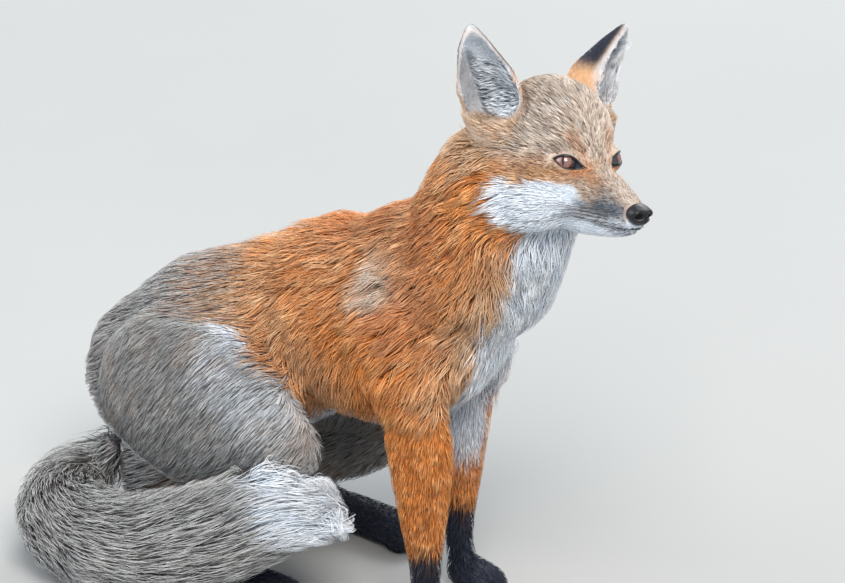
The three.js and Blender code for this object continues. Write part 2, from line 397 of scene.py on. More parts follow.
def toe_rows(outer, inner):
    """The x, the y and half the foot's width for each toe of each foot. The outer toes and the
    inner toes stand back by these distances from the foremost point of the foot."""
    for node, kind in zip(nodes, kinds):
        if kind in ("forepaw", "hindfoot"):
            low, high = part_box(node)
            half = (high.y - low.y) / 2
            for across, behind in ((-0.72, outer), (-0.25, inner), (0.25, inner), (0.72, outer)):
                yield high.x - behind, (low.y + high.y) / 2 + across * half * 0.9, half


def toes():
    """Four rounds for the toes of each foot."""
    shells = []
    for x, y, half in toe_rows(0.014, 0.0105):
        toe = bmesh.new()
        bmesh.ops.create_uvsphere(toe, u_segments=16, v_segments=10, radius=1)
        bmesh.ops.scale(toe, vec=(0.0115, half * 0.31, 0.0088), verts=toe.verts)
        bmesh.ops.translate(toe, vec=Vector((x, y, 0.0098)), verts=toe.verts)
        shells.append(mesh_of("toe", toe))
    return shells


def solids(*kinds_wanted):
    return [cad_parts[n].data for n, kind in zip(nodes, kinds) if kind in kinds_wanted]


def ear_foot(side):
    """The lower end of an ear, cut off under its hollow, that the head's skin runs over."""
    foot = bmesh.new()
    foot.from_mesh(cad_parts[f"ear_{side}"].data)
    bmesh.ops.remove_doubles(foot, verts=foot.verts, dist=1e-5)
    cut = bmesh.ops.bisect_plane(
        foot, geom=foot.verts[:] + foot.edges[:] + foot.faces[:], clear_outer=True,
        plane_co=out_of_head(np.array([0, 0, 35])), plane_no=head_axes[2],
    )
    rim = [part for part in cut["geom_cut"] if isinstance(part, bmesh.types.BMEdge)]
    bmesh.ops.holes_fill(foot, edges=rim)
    return mesh_of("ear_foot", foot)


def ball_of(name, around, up):
    """A ball of radius 1 with this many faces around it and up it, and its points."""
    ball = bmesh.new()
    bmesh.ops.create_uvsphere(ball, u_segments=around, v_segments=up, radius=1)
    mesh = mesh_of(name, ball)
    return mesh, arrays_of(mesh)[0]


def ear_root(side, middle, reach):
    """A round of flesh at the foot of an ear, that fills the fold between it and the neck."""
    mesh, ball = ball_of("ear_root", 24, 16)
    placed = (np.array(middle) + ball * reach) * [1, side, 1]
    mesh.vertices.foreach_set("co", out_of_head(placed).ravel())
    if side < 0:
        mesh.flip_normals()
    return mesh


body_kinds = [kind for kind in coats if kind not in ("ear", "tail")]
flesh = [*solids(*body_kinds), ear_foot("right"), ear_foot("left")]
for side in (-1, 1):
    flesh.append(ear_root(side, (-22, 33, 15), (27, 21.5, 23)))
    flesh.append(ear_root(side, (-39, 37, 22), (26, 20, 21)))
# The sizes of the faces: first of the bare forms, then of the body's skin and of the ears'.
rough_grain, body_grain, ear_grain = 0.004, 0.0035, 0.0013
body = shrunk(closed_over(flesh, rough_grain), coat_depth)
tail = shrunk(closed_over(solids("tail"), rough_grain), coat_depth)
under_fur = closed_over([body, tail, *toes()], body_grain)
ears = [
    shrunk(closed_over([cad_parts[f"ear_{side}"].data], ear_grain), coat_depth, 2)
    for side in ("right", "left")
]

# The eye's own directions in the head's frame, for the left eye: out along the gaze,
# towards the inner corner, and up. The right eye's are their mirror image.
gaze = np.array([0.777, 0.605, 0.175])
inward = np.array([0.606, -0.794, 0.052])
eye_upward = np.array([-0.171, -0.065, 0.983])
# The edge of the opening between the lids, in millimetres from the middle of the eye.
upper_lid = [(-9.6, 2.8), (-6, 4.5), (-0.5, 5.3), (5, 4.0), (10, 0.5), (15.4, -4.6)]
lower_lid = [(15.4, -4.6), (10.5, -5.2), (5, -5.2), (-0.5, -4.7), (-5.5, -1.8), (-9.6, 2.8)]


def eye_frame(side):
    mirror = np.array([1, side, 1])
    return np.array([inward, eye_upward, gaze]) * mirror


def eye_middle(side):
    return np.array([eye_ahead, eye_out * side, eye_up])


def from_eye(local, side):
    """Places of the head's frame in the frame of one eye: inward, upward and out."""
    return (local - eye_middle(side)) @ eye_frame(side).T


def out_of_eye(along, side):
    return eye_middle(side) + along @ eye_frame(side)


def lid_height(across, upright):
    """How far the lids stand in front of the eye's middle: a dome over the ball."""
    reach = np.hypot(across, upright)
    ball = np.sqrt(np.maximum((eye_radius + 0.9) ** 2 - reach ** 2, 0))
    return np.logaddexp(ball * 1.6, 4.6 * 1.6) / 1.6


def opening(across, upright):
    """Positive inside the opening between the lids, and falling away outside it."""
    top = np.interp(across, *zip(*upper_lid))
    bottom = np.interp(across, *zip(*lower_lid[::-1]))
    inside = np.minimum(top - upright, upright - bottom)
    return np.minimum(inside, np.minimum(across + 9.6, 15.4 - across))


def seat_eye(local, side):
    """Lays the skin over the front of the eyeball, and tucks it behind it in the opening."""
    along = from_eye(local, side)
    across, upright, out = along.T
    reach = np.hypot(across, upright)
    inside = opening(across, upright)
    near = (1 - ramp(-inside, 2.5, 9)) * ramp(out, -20, -15)
    on_ball = reach < eye_radius - 0.3
    lid = lid_height(across, upright)
    target = np.where(inside > 0.3, np.where(on_ball, 2.0, lid - 1.6), lid)
    moved = along.copy()
    moved[:, 2] = out + (target - out) * near
    return out_of_eye(moved, side)


# Where the lips meet: how far ahead and how high, in the head's frame.
mouth_line = [
    (45, -32.4), (53, -32.8), (62.5, -34.5), (74, -35.8), (88.5, -35.8), (98, -36.6), (105, -36.1),
]


def carve_mouth(local):
    """Presses in the line where the lips meet, and lets the upper lip hang a little over it."""
    line = np.interp(local[:, 0], *zip(*mouth_line))
    above = local[:, 2] - line
    along = ramp(local[:, 0], 44, 52) * (1 - ramp(local[:, 0], 104, 108))
    groove = np.exp(-(above / 1.2) ** 2) * along
    lip = np.exp(-((above - 4.2) / 2.6) ** 2) * along
    moved = local.copy()
    moved[:, 1] += np.sign(local[:, 1]) * (0.5 * lip - 1.6 * groove)
    return moved


def finer(shell, wanted):
    """Cuts the faces whose middle is in the wanted part of the head into four."""
    middles = np.array([face.calc_center_median() for face in shell.faces])
    chosen = np.flatnonzero(wanted(in_head(middles)))
    shell.faces.ensure_lookup_table()
    edges = {edge for index in chosen for edge in shell.faces[index].edges}
    bmesh.ops.subdivide_edges(shell, edges=list(edges), cuts=1, use_grid_fill=True)
    bmesh.ops.triangulate(shell, faces=[face for face in shell.faces if len(face.verts) > 4])


def round_eyes(reach):
    def wanted(local):
        gaps = [np.linalg.norm(local - eye_middle(side), axis=1) for side in (-1, 1)]
        return np.minimum(*gaps) < reach
    return wanted


face_shell = bmesh.new()
face_shell.from_mesh(under_fur)
finer(face_shell, lambda local: (local[:, 0] > 18) & (abs(local[:, 1]) < 60))
finer(face_shell, round_eyes(22))
face_shell.to_mesh(under_fur)
places, triangles, edges = arrays_of(under_fur)
settled = rounded(places, edges, 5)
local = in_head(settled)
on_face = ramp(local[:, 0], 4, 14) * ramp(local[:, 2], -75, -65)
shaped = carve_mouth(local)
for side in (-1, 1):
    shaped = seat_eye(shaped, side)
settled += (out_of_head(shaped) - settled) * on_face[:, None]
sole_height = 0.0004
settled[:, 2] = np.maximum(settled[:, 2], sole_height)
under_fur.vertices.foreach_set("co", settled.ravel())
under_fur.update()

whole = bmesh.new()
for part in (under_fur, *ears):
    whole.from_mesh(part)
skin_mesh = mesh_of("skin", whole)
skin = in_scene("skin", skin_mesh)
skin_mesh.shade_smooth()
bpy.context.view_layer.objects.active = skin
skin.select_set(True)
skin_mesh.uv_layers.new(name="OFBake")
bpy.ops.object.mode_set(mode="EDIT")
bpy.ops.mesh.select_all(action="SELECT")
bpy.ops.uv.smart_project(angle_limit=math.radians(70), island_margin=0.001)
bpy.ops.object.mode_set(mode="OBJECT")

# ---- the markings -----------------------------------------------------------------------
# The same pattern is laid on the skin and on the roots of the coat: orange-red over most
# of the body, white from the lips down the throat, grey hindquarters and dark feet.
skin_places, skin_triangles, skin_edges = arrays_of(skin_mesh)
skin_normals = normals_of(skin_places, skin_triangles)
skin_node = nearest_node(skin_places)
skin_tree = BVHTree.FromPolygons(skin_places.tolist(), skin_triangles.tolist())
broad_normals = unit(relaxed(skin_normals, skin_edges, 10))
is_kind = {kind: np.array(kinds)[skin_node] == kind for kind in coats}
middle_y = (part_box("chest")[0].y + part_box("chest")[1].y) / 2

# The middle line of the tail, from its root to its white end.
tail_line = np.array([
    (-0.226, 0.031, 0.076), (-0.260, -0.013, 0.050), (-0.242, -0.063, 0.042),
    (-0.192, -0.093, 0.043), (-0.136, -0.097, 0.049), (-0.076, -0.080, 0.074),
    (-0.025, -0.056, 0.101), (0.030, -0.034, 0.097),
])


def smooth_line(points, count):
    """Points evenly spread in number along the smooth curve through these."""
    points = np.asarray(points, float)
    ends = np.concatenate([[2 * points[0] - points[1]], points, [2 * points[-1] - points[-2]]])
    along = np.linspace(0, len(points) - 1, count)
    start = np.minimum(along.astype(int), len(points) - 2)
    t = (along - start)[:, None]
    a, b, c, d = (ends[start + step] for step in range(4))
    return 0.5 * (2 * b + (c - a) * t + (2 * a - 5 * b + 4 * c - d) * t ** 2
                  + (3 * b - a - 3 * c + d) * t ** 3)


tail_curve = smooth_line(tail_line, 60)


def tail_share(places):
    """How far along the tail each place is, from 0 to 1."""
    gaps = ((places[:, None] - tail_curve[None]) ** 2).sum(2)
    return gaps.argmin(1) / (len(tail_curve) - 1)


def ripple(places, size):
    """An uneven number about 0 that changes over this many millimetres."""
    x, y, z = places.T * 1000 * 2 * math.pi / size
    return (np.sin(x + 1.7 * np.sin(y * 0.6 + 1)) + np.sin(y * 1.1 + 1.3 * np.sin(z * 0.7))
            + np.sin(z * 0.9 + 1.5 * np.sin(x * 0.5 + 2))) / 3


def near_line(places, start, end, radius, share=1):
    """This share on the straight line between two places, fading to 0 at a distance from it."""
    start, end = np.array(start, float), np.array(end, float)
    span = end - start
    along = np.clip(((places - start) @ span) / (span @ span), 0, 1)
    gap = np.linalg.norm(places - start - along[:, None] * span, axis=1)
    return (1 - ramp(gap, radius * 0.35, radius)) * share


def most(*shares):
    """The greatest of these shares at each place."""
    return np.maximum.reduce(shares)


# Where an ear leaves the crown, and how tall it stands above that.
ear_low, ear_tall = 20, 92


def ear_sides(places, normals):
    """For each place on an ear: how squarely it faces the middle of the hollow, its share of
    the ear's height, how many millimetres it is outwards from the ear's middle line, and how
    squarely it faces the way that the hollow opens."""
    local, facing = in_head(places), normals @ head_axes.T
    side = np.sign(local[:, 1])
    still = np.zeros(len(places))
    open_way = unit(np.stack([still + 0.76, 0.62 * side, still + 0.18], 1))
    out_way = np.stack([still - 0.62, 0.76 * side, still], 1)
    height = (local[:, 2] - ear_low) / ear_tall
    line = np.stack([-19 - 3 * height, (34 + 44.5 * height) * side, local[:, 2]], 1)
    to_middle = unit(line + open_way * 5 - local)
    out = ((local - line) * out_way).sum(1)
    return (facing * to_middle).sum(1), height, out, (facing * open_way).sum(1)


def ear_hollow(places, normals):
    """1 in the hollow of an ear, and 0 on its rim, its back and its foot."""
    facing, height, _, _ = ear_sides(places, normals)
    return ramp(facing, -0.1, 0.3) * ramp(height, 0.15, 0.24)


def markings(places, normals):
    """The share of each colour at each place, by name."""
    local = in_half_head(places)
    ahead, rise = local[:, 0], local[:, 2]
    right = places * 1000
    right[:, 1] = middle_y * 1000 - abs(places[:, 1] - middle_y) * 1000
    x, y, z = places.T * 1000
    on_left = y > middle_y * 1000
    shake = ripple(places, 23)
    head, muzzle, jaw, ear, neck, chest, loins, tail, foreleg = (is_kind[kind] * 1.0 for kind in (
        "head", "muzzle", "jaw", "ear", "neck", "chest", "loins", "tail", "foreleg",
    ))
    haunch = (is_kind["haunch"] | is_kind["shank"]) * 1.0
    feet = (is_kind["forepaw"] | is_kind["hindfoot"]) * 1.0
    face, front = head + muzzle, neck + chest

    # An ear has a hollow of long pale hair with a velvet outer side, a rim, a back and a foot.
    _, ear_height, ear_out, ear_open = ear_sides(places, normals)
    hollow = ear * ear_hollow(places, normals)
    ear_base = ear * (1 - ramp(ear_height, 0.13, 0.22))
    ear_back = ear * (1 - hollow) * (1 - ramp(ear_open, 0.15, 0.4)) * (1 - ear_base)
    ear_rim = ear * (1 - hollow) * (1 - ear_back) * (1 - ear_base)
    velvet = hollow * ramp(ear_out, 10, 14) * np.where(in_head(places)[:, 1] < 0, 1, 0.25)
    silver = hollow * (1 - ramp(ear_out, 4, 10)) * 0.9

    # White covers the cheek, the throat and a bib that narrows and widens again on its way to
    # the legs, the belly, the inside of the legs and the end of the tail.
    cheek_top = np.interp(
        ahead, [-18, -6, 7, 14, 21, 28, 39, 50, 59, 70, 92, 104],
        [-17, -9, -9, -14, -10, -8, -8, -8, -16, -23, -25, -29],
    )
    cheek_back = np.interp(rise, [-52, -43, -32, -24, -17, -9], [10, 2, -8, -8, -6, -2])
    cheek = (face + jaw) * ramp(cheek_top - rise + shake * 1.2, -1.5, 1.5)
    cheek = cheek * ramp(ahead - cheek_back, -4, 4)
    bib_edge = np.interp(
        z, [160, 202, 234, 272, 314, 358, 402, 450], [128, 124, 117, 125, 150, 165, 177, 190],
    )
    bib = ramp(x - bib_edge + shake * 5, -7, 7)
    bib_half = np.interp(z, [120, 215, 240, 258, 278, 318, 352], [6, 14, 19, 20, 13, 24, 36])
    from_middle = np.where(on_left, 0.3, 1) * abs(y - middle_y * 1000)
    bib_low = ramp(bib_half - from_middle + shake * 3, -4, 4) * ramp(normals[:, 0], 0.05, 0.35)
    belly = (chest + loins) * ramp(-normals[:, 2], 0.45, 0.85) * (1 - ramp(x, 55, 75))
    to_middle = -normals[:, 1] * np.sign(places[:, 1] - middle_y)
    left_inner_leg = ramp(normals[:, 0] * 0.45 + to_middle * 0.9, 0.0, 0.6)
    inner_leg = np.where(on_left, left_inner_leg, ramp(to_middle, 0.75, 0.95))
    tail_white = tail * ramp(tail_share(places) + shake * 0.02, 0.75, 0.83)
    white = most(
        cheek, front * bib, front * bib_low * (1 - ramp(z, 320, 340)), belly * 0.85,
        foreleg * inner_leg * ramp(z, 100, 150) * 0.85, tail_white,
        hollow - velvet * 0.55, ear_rim * ramp(ear_height, 0.25, 0.4) * 0.45,
        haunch * near_line(right, (-80, -46, 212), (-42, -46, 190), 55) * 0.45,
        # Painted highlight: a thin white line along the lit top edge of the haunch.
        near_line(right, (-108, -20, 243), (-78, -18, 222), 15) * (haunch + loins),
    )

    # Black covers the feet and stockings, the backs of the ears, the lids and the lips' corner.
    stocking = foreleg * (1 - ramp(z + shake * 8, 66, 104))
    lids = np.zeros(len(places))
    for side in (-1, 1):
        across, upright, out = from_eye(in_head(places), side).T
        lids = np.maximum(lids, ramp(opening(across, upright), -1.2, -0.4) * (out > 0))
    black = most(
        stocking, feet, ear_back * ramp(ear_height, 0.5, 0.64), lids * face,
        near_line(local, (46, 19, -32.5), (58, 15, -33.6), 2.5) * (face + jaw),
    )

    # Grey covers the hindquarters and the tail, fades in along the back, and dusts the muzzle.
    rump = loins * np.interp(-x, [20, 70, 150, 200], [0.1, 0.36, 0.6, 0.95])
    rump = rump * np.maximum(ramp(normals[:, 2], -0.2, 0.3), ramp(-x, 110, 160))
    ridge = near_line(local, (60, 0, 6), (104, 0, -16), 13)
    muzzle_top = muzzle * ramp(ahead + shake * 3, 54, 84) * 0.6 * (1 - ridge * 0.7)
    dusty = haunch * (0.15 + 0.2 * ramp(ripple(places, 47), -0.5, 0.8))
    grey = most(haunch - dusty, tail * 0.9, rump, muzzle_top, velvet * 0.7)
    # Dusky blue-grey is painted shade in the hollow of each ear: on its velvet, near its top, and
    # in
    # a band between the long hair and the velvet. It is painted shadow under the top edge of the
    # foot of the ear.
    # haunch where it meets the flank. On the muzzle it is the real dusky whisker patch and grizzle;
    # it also dulls the ear's rim a little and darkens a spot behind the eye and one at the front
    dusky_and_shade = most(
        velvet * 0.44, ear_rim * 0.2, hollow * ramp(ear_height, 0.68, 0.85) * 0.3,
        hollow * (1 - ramp(abs(ear_out - 8), 1.5, 6)) * (1 - ramp(ear_height, 0.68, 0.85)) * 0.95,
        muzzle * near_line(local, (54, 21, -21), (98, 13, -25), 4.5) * 0.85,
        muzzle * near_line(local, (76, 17, -21), (96, 13, -22), 9) * 0.9, muzzle_top * 0.4,
        head * near_line(local, (26, 38, 8), (4, 44, -1), 7) * 0.2,
        (haunch + loins) * near_line(right, (-85, -25, 222), (-50, -30, 198), 12) * 0.3,
        head * near_line(local, (-4, 34, 38), (5, 33, 30), 7) * 0.5,
    )

    # Rust marks the brow, the rim of the eye and the tear line, the shoulder and the withers.
    rust = face * most(
        near_line(local, (56, 14, 6), (48, 23, -2), 8, 0.85),
        near_line(local, (46, 27, -1), (32, 35, 1), 6, 0.85),
        near_line(local, (28, 35.5, 11), (8, 43, 0), 6, 0.6),
        near_line(local, (47, 12, 15), (43, 17, 27), 8, 0.6),
        near_line(local, (56, 13, 4), (68, 14, -4), 9, 0.4),
    )
    rust = np.maximum(rust, front * most(
        ramp(ripple(places, 61) + shake * 0.5, 0.0, 0.9) * 0.35,
        near_line(right, (90, -14, 365), (80, -20, 300), 46, 0.6),
        near_line(places * 1000, (-10, 33, 335), (50, 33, 365), 40, 0.6),
    ))

    # Buff and pale hair lighten the face, the nape, the edge of the bib and the flank.
    patch = front * near_line(right, (44, -17, 344), (52, -18, 316), 33)
    cheek_front = muzzle * near_line(local, (60, 20, -8), (66, 19, -15), 9)
    hind_light = 0.25 + 0.35 * ramp(ripple(places, 55), -0.1, 0.7)
    buff = most(
        face * ramp(ahead + rise * 0.25, -26, 12) * 0.85 * (1 - rust * 0.55),
        neck * near_line(local, (-46, 42, 22), (-12, 50, 4), 40) * 0.95,
        (chest + loins) * near_line(right, (-18, -19, 220), (-60, -30, 250), 50) * 0.5,
        cheek_front, patch * 0.9, neck * (0.18 + 0.25 * ramp(ripple(places, 70), -0.2, 0.7)),
        front * ramp(x - bib_edge, -40, -6) * 0.8, (loins + chest * ramp(-x, -10, 30)) * hind_light,
        haunch, ear_base * 0.8, ear * 0.9,
    )
    pale = most(
        head * ramp(rise, 0, 14) * ramp(ahead, -30, -4) * 0.95 * (1 - rust * 0.9),
        patch * 0.8, ear_rim * 0.85, ear_back * (1 - ramp(ear_height, 0.3, 0.5)) * 0.2,
        ear_base * 0.4, muzzle * ridge * 0.9, cheek_front * 0.6,
        face * near_line(local, (48, 26, -4), (58, 18, -6), 9) * 0.5,
        face * near_line(local, (42, 30, -4), (30, 37, -3), 6) * 0.6,
    )

    # Dark tips are ticked in among the grey, and in rows on the bed of the whiskers.
    rows = np.sin((rise + ahead * 0.42) * 2 * math.pi / 4.6) * 0.5 + 0.5
    whisker_bed = muzzle * near_line(local, (62, 19, -26), (98, 12, -30), 8)
    tick = most(
        haunch * 0.12, tail * 0.2 * (1 - tail_white), rump * 0.18, muzzle_top * 0.8,
        cheek_front * 0.4, whisker_bed * rows ** 3 * 0.6,
        face * (1 - ruff(in_head(places))) * 0.12 * (1 - white),
        head * near_line(local, (-6, 36, 40), (6, 33, 28), 8) * 0.5,
    )
    return {"rust": rust, "buff": buff, "pale": pale, "grey": grey, "white": white,
            "silver": silver, "dusky_and_shade": dusky_and_shade, "black": black, "tick": tick}


skin_marks = markings(skin_places, broad_normals)
mark_names = list(skin_marks)
marks = relaxed(np.stack([skin_marks[name] for name in mark_names], 1), skin_edges, 2)


# Screen colours of each kind of hair: painted shade in the depth of the coat, along a strand
# and at a tip. The blue in the depths of the white and silver hair is painted sky shade, and
# the blue along the black hair is partly a painted sheen.
hair_colours = {
    "rufous": ((120, 48, 6), (230, 144, 70), (255, 214, 156)),
    "rust": ((106, 38, 8), (188, 98, 46), (236, 170, 116)),
    "buff": ((150, 104, 70), (216, 176, 136), (252, 232, 206)),
    "pale": ((100, 78, 64), (220, 202, 186), (255, 253, 249)),
    "grey": ((110, 110, 112), (173, 173, 173), (228, 227, 224)),
    "white": ((186, 201, 218), (240, 244, 250), (255, 255, 255)),
    "silver": ((88, 100, 116), (226, 232, 240), (255, 255, 255)),
    # Blue-grey: painted shade, and the dusky hair of the muzzle.
    "dusky_and_shade": ((62, 72, 88), (108, 118, 130), (160, 170, 182)),
    "black": ((16, 16, 22), (40, 44, 58), (84, 92, 112)),
}


def fur_paint(start):
    """Orange-red hair with each marking laid over it, with painted shade in its depth and pale
    tips.
    """
    root = start.read("root", 1)
    along, chance, tone = (start.read(name) for name in ("along", "chance", "tone"))
    cloud = root.noise(55.0, 2.0)
    shaded_depths, strand, tips = (tint(*shade) for shade in hair_colours["rufous"])
    for name in list(hair_colours)[1:]:
        share, shades = start.read(name), [tint(*shade) for shade in hair_colours[name]]
        shaded_depths, strand = share.mix(shaded_depths, shades[0]), share.mix(strand, shades[1])
        tips = share.mix(tips, shades[2])
    shade = tone * 0.8 + cloud * 0.5 - 0.15
    # Painted shade: near its root, and more in the darker locks, hair takes the colour of the
    # coat's depth.
    colour = (along.between(0.0, 0.4) * (shade.between(0.0, 0.6) * 0.8 + 0.2)).mix(shaded_depths, strand)
    colour = (along.between(0.1, 0.6) * shade.between(0.5, 1.0) * 0.65).mix(colour, tips)
    colour = (along.between(0.4, 1.0) * (chance * 0.6 + 0.1)).mix(colour, tips)
    ticked = (start.read("tick") - chance).between(0.0, 0.02) * along.between(0.15, 0.4)
    colour = (ticked * 0.8).mix(colour, tint(46, 40, 40))
    return {"Base Color": colour, "Normal": root.noise(900.0, 2.0).bump(0.35, 0.0006)}


fur = material("fur", fur_paint, Roughness=0.62, Specular_IOR_Level=0.25)


def write_numbers(mesh, name, values):
    """Stores one number or one vector for each point of the mesh."""
    values = np.asarray(values, np.float32)
    kind, key = ("FLOAT", "value") if values.ndim == 1 else ("FLOAT_VECTOR", "vector")
    mesh.attributes.new(name, kind, "POINT").data.foreach_set(key, values.ravel())


skin_chance = draw.random(len(skin_places))
write_numbers(skin_mesh, "root", skin_places)
# The skin takes the colour that hair has near its root, part of it the painted shade of the coat's
# depth.
write_numbers(skin_mesh, "along", np.full(len(skin_places), 0.28))
write_numbers(skin_mesh, "chance", 0.4 + 0.6 * skin_chance)
write_numbers(skin_mesh, "tone", np.full(len(skin_places), 0.4))
for name, column in zip(mark_names, marks.T):
    write_numbers(skin_mesh, name, column)
skin_mesh.materials.append(fur)
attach(skin, "root")
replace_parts(skin, *nodes)


def set_on_fox(name, mesh, finish):
    """The mesh as a piece with this finish, that rides on the one body of the model."""
    mesh.materials.append(finish)
    piece = in_scene(name, mesh)
    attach(piece, "root")
    return piece


# ---- the eyes ---------------------------------------------------------------------------
# The eyeball is wet and brown, with an upright slit of a pupil. It sits in the skin of the
# face, held by two lids with black rims of bare skin; the upper rim is thicker, partly as
# painted shadow under the upper lid.
def eye_paint(start):
    place = start.read("seen", 1)
    parts = place.node("ShaderNodeSeparateXYZ", None, {0: place})
    across, upright = parts, Socket(parts.tree, parts.output.node.outputs[1])
    reach = (across * across + upright * upright).math("SQRT")
    spokes = across.node("ShaderNodeTexNoise", {"noise_dimensions": "1D"}, {
        "W": upright.math("ARCTAN2", across) * 9.0, "Scale": 1.6, "Detail": 3.0,
    })
    iris = (spokes.between(0.3, 0.7) * 0.8).mix(tint(96, 58, 50), tint(158, 112, 104))
    iris = (reach.between(0.5, 0.7) * 0.7).mix(iris, tint(120, 70, 56))
    iris = reach.between(0.68, 0.78).mix(iris, tint(24, 18, 18))
    slit = (across * across * 60 + upright * upright * 5.0).math("SQRT")
    colour = (1 - slit.between(0.82, 1.0)).mix(iris, tint(34, 14, 12))
    return {"Base Color": reach.between(0.80, 0.88).mix(colour, tint(40, 42, 48))}


eye_finish = material("eye", eye_paint, Roughness=0.12, Coat_Weight=1.0, Coat_Roughness=0.02)
for word, side in (("right", -1), ("left", 1)):
    ball_mesh, shape = ball_of(f"eyeball_{word}", 64, 40)
    if side < 0:
        ball_mesh.flip_normals()
    bulge = 1 + 0.05 * ramp(shape[:, 2], 0.7, 1.0)
    seen = (shape - [-0.2, 0.11, 0]) * [1, 1, 0]
    placed = out_of_eye(shape * bulge[:, None] * eye_radius, side)
    ball_mesh.vertices.foreach_set("co", out_of_head(placed).ravel())
    ball_mesh.shade_smooth()
    write_numbers(ball_mesh, "seen", np.where(shape[:, 2:] > 0, seen, 1.0))
    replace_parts(set_on_fox(f"eyeball_{word}", ball_mesh, eye_finish), f"eye_{word}")


def rod(points, radii, sides=8, ring=False):
    """A tapered round rod along a line of points, or a closed ring of it, as a mesh."""
    curve = bpy.data.curves.new("rod", "CURVE")
    curve.dimensions, curve.bevel_depth = "3D", 1.0
    curve.bevel_resolution, curve.use_fill_caps = sides // 4, not ring
    spline = curve.splines.new("POLY")
    spline.points.add(len(points) - 1)
    for knot, point, radius in zip(spline.points, points, radii):
        knot.co, knot.radius = (*point, 1), radius
    spline.use_cyclic_u = ring
    holder = bpy.data.objects.new("rod", curve)
    mesh = bpy.data.meshes.new_from_object(holder)
    bpy.data.objects.remove(holder)
    return mesh


def piece_of(name, meshes, finish):
    """One object of several meshes, merged and facing outwards, that rides on the body."""
    shell = bmesh.new()
    for mesh in meshes:
        shell.from_mesh(mesh)
    bmesh.ops.remove_doubles(shell, verts=shell.verts, dist=1e-6)
    bmesh.ops.recalc_face_normals(shell, faces=shell.faces)
    made = mesh_of(name, shell)
    made.shade_smooth()
    made.materials.clear()
    return set_on_fox(name, made, finish)


def wet_skin_paint(start):
    place = start.place()
    pebbles = start.node("ShaderNodeTexVoronoi", None, {"Vector": place, "Scale": 1300.0})
    cloud = place.noise(160.0, 2.0)
    return {
        "Normal": pebbles.bump(0.3, 0.0004),
        "Base Color": cloud.mix(tint(5, 5, 7), tint(18, 18, 23)),
        "Roughness": cloud * 0.25 + 0.28,
    }


wet_skin = material("wet_skin", wet_skin_paint, Coat_Weight=0.35, Coat_Roughness=0.25)
for word, side in (("right", -1), ("left", 1)):
    edge = np.concatenate([smooth_line(upper_lid, 30)[:-1], smooth_line(lower_lid, 30)[:-1]])
    heights = lid_height(edge[:, 0], edge[:, 1]) + 0.05
    rim = out_of_eye(np.column_stack([edge, heights]), side)
    # The upper rim is about twice as thick as the lower: part of its black stands in for the shadow
    # that the upper lid casts.
    thick = np.where(np.arange(len(edge)) < 29, 1.05, 0.55)
    thick = thick * (0.7 + 0.3 * np.sin(np.linspace(0, 2 * math.pi, len(edge))) ** 2)
    ring = rod(out_of_head(rim), thick / 1000, 12, True)
    piece_of(f"lid_rim_{word}", [ring], wet_skin)

# ---- the nose ---------------------------------------------------------------------------
# A moist black pad of bare skin with two comma-shaped nostrils and a groove down its
# middle. It is grown onto the end of the muzzle.
def nose_paint(start):
    painted = wet_skin_paint(start)
    hole = start.read("hole")
    # Painted shade: the nostrils are darkened to near black, most where they go deepest.
    painted["Base Color"] = hole.mix(painted["Base Color"], tint(2, 2, 2))
    painted["Roughness"] = painted["Roughness"] + hole * 0.6
    return painted


nose_skin = material(
    "nose_skin", nose_paint, Specular_IOR_Level=0.3, Coat_Weight=0.2, Coat_Roughness=0.2,
)
pad_mesh, round_pad = ball_of("nose_pad", 96, 64)
nose_half = np.array([10.2, 10.4, 8.7])
shape = round_pad * nose_half
shape[:, 1] *= 1 - 0.24 * ramp(-round_pad[:, 2], 0.1, 1.0)
shape[:, 0] *= 1 - 0.16 * ramp(round_pad[:, 2], 0.1, 1.0)
shape[:, 2] -= 1.1 * ramp(round_pad[:, 2], 0.3, 1.0) * ramp(shape[:, 0], -2, 8)
hole_depth = np.zeros(len(shape))
for side in (-1, 1):
    slit = smooth_line([
        (8.6, 4.2 * side, -0.4), (7.8, 6.6 * side, -1.4), (5.6, 8.8 * side, -2.6),
        (2.0, 10.0 * side, -3.4),
    ], 14)
    gap = np.linalg.norm(shape[:, None] - slit[None], axis=2)
    hollowed = (np.exp(-(gap / np.linspace(2.3, 0.9, 14)) ** 2) * np.linspace(5.5, 1.6, 14)).max(1)
    hole_depth = np.maximum(hole_depth, hollowed)
    shape -= unit(shape * [1, 0.3, 0.3]) * hollowed[:, None]
    wing = np.exp(-(np.linalg.norm(shape - [6.2, 7.2 * side, 2.4], axis=1) / 3.0) ** 2)
    shape += unit(shape) * (wing * 0.7)[:, None]
groove = np.exp(-(shape[:, 1] / 0.75) ** 2) * ramp(-shape[:, 2], -2.5, 2) * ramp(shape[:, 0], 2, 6)
shape[:, 0] -= groove * 1.2
nose_place = np.array([nose_ahead, 0, nose_up])
pad_mesh.vertices.foreach_set("co", out_of_head(shape + nose_place).ravel())
write_numbers(pad_mesh, "hole", ramp(hole_depth, 0.8, 3.2))
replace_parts(piece_of("nose_pad", [pad_mesh], nose_skin), "nose")

# ---- the lips ---------------------------------------------------------------------------
# A thin black edge of bare skin follows the mouth from one corner round to the other. It
# is the rim of the upper lip, and lies in the line where the lips meet.
def laid_on_skin(points, height):
    """These places of the head's frame moved to this many millimetres above the skin."""
    laid = []
    for point, above in zip(out_of_head(np.asarray(points, float)), height):
        spot, normal, _, _ = skin_tree.find_nearest(point)
        laid.append(spot + normal * float(above) / 1000)
    return np.array(laid)


